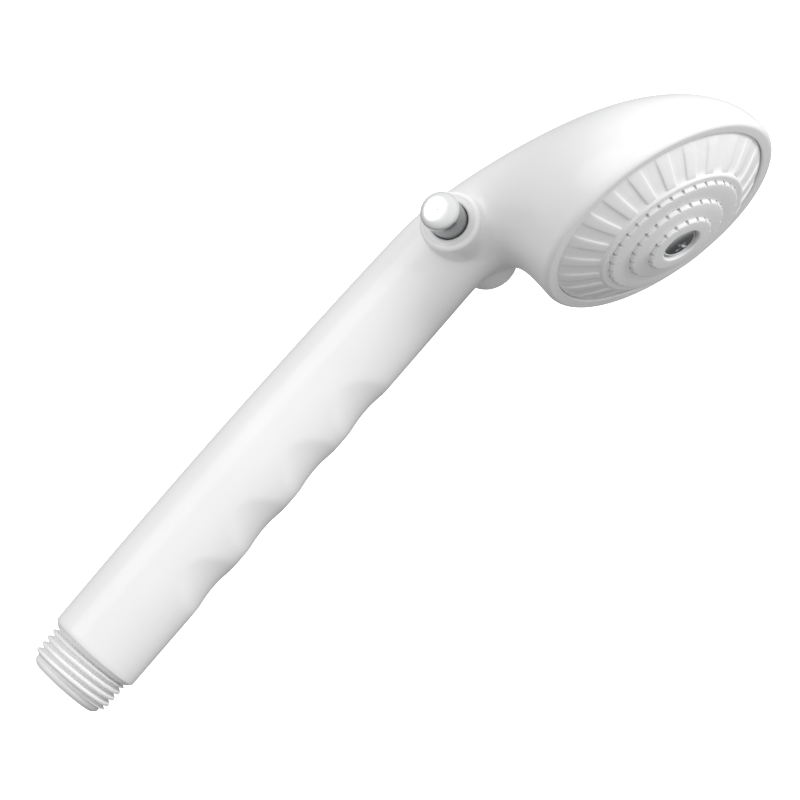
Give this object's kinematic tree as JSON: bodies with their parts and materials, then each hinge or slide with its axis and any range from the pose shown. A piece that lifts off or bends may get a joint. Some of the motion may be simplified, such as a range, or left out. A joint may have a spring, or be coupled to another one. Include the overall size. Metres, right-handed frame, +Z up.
{
  "type": "handheld shower head",
  "caption": "Handheld shower head with a scalloped round handle, a threaded inlet, a push-button pause valve through the neck and a tilted round spray face.",
  "frame": {"origin": "centre of the threaded inlet's end face, where the hose washer seals", "axes": "+Z up the handle from the inlet to the head; the spray face looks towards -Y, tilted 12 degrees down; X is the pause valve's axis, with the button that stands out at rest on -X"},
  "size_m": [0.0616, 0.0564, 0.2005],
  "materials": {
    "white_body": "white moulded ABS, gloss",
    "white_face": "white moulded ABS, gloss, a little softer than the body",
    "white_thread": "white moulded ABS, satin",
    "chrome": "bright chrome plating on brass",
    "screw_steel": "bright stainless steel",
    "brass": "machined",
    "rubber": "matte nitrile",
    "acetal": "natural acetal",
    "strainer": "woven stainless mesh"
  },
  "bodies": {
    "shower_body": {"handle_body": "white_body", "inlet_nipple": "white_thread", "nipple_o_ring": "rubber", "inlet_screen": "strainer", "flow_regulator": "acetal", "regulator_o_ring": "rubber", "near_bush": "white_body", "far_bush": "white_body", "near_rod_seal": "rubber", "far_rod_seal": "rubber", "near_bush_o_ring": "rubber", "far_bush_o_ring": "rubber", "spray_face": "white_face", "face_gasket": "rubber", "diffuser_disc": "acetal", "centre_screw": "screw_steel", "screw_washer": "acetal", "thread_insert": "brass"},
    "pause_spool": {"valve_spool": "chrome", "spool_o_ring_1": "rubber", "spool_o_ring_2": "rubber", "near_button": "chrome", "far_button": "chrome"}
  },
  "joints": [
    {"name": "pause_slide", "type": "slide", "parent": "shower_body", "child": "pause_spool", "axis": [1, 0, 0], "range_m": [0, 0.006]}
  ]
}
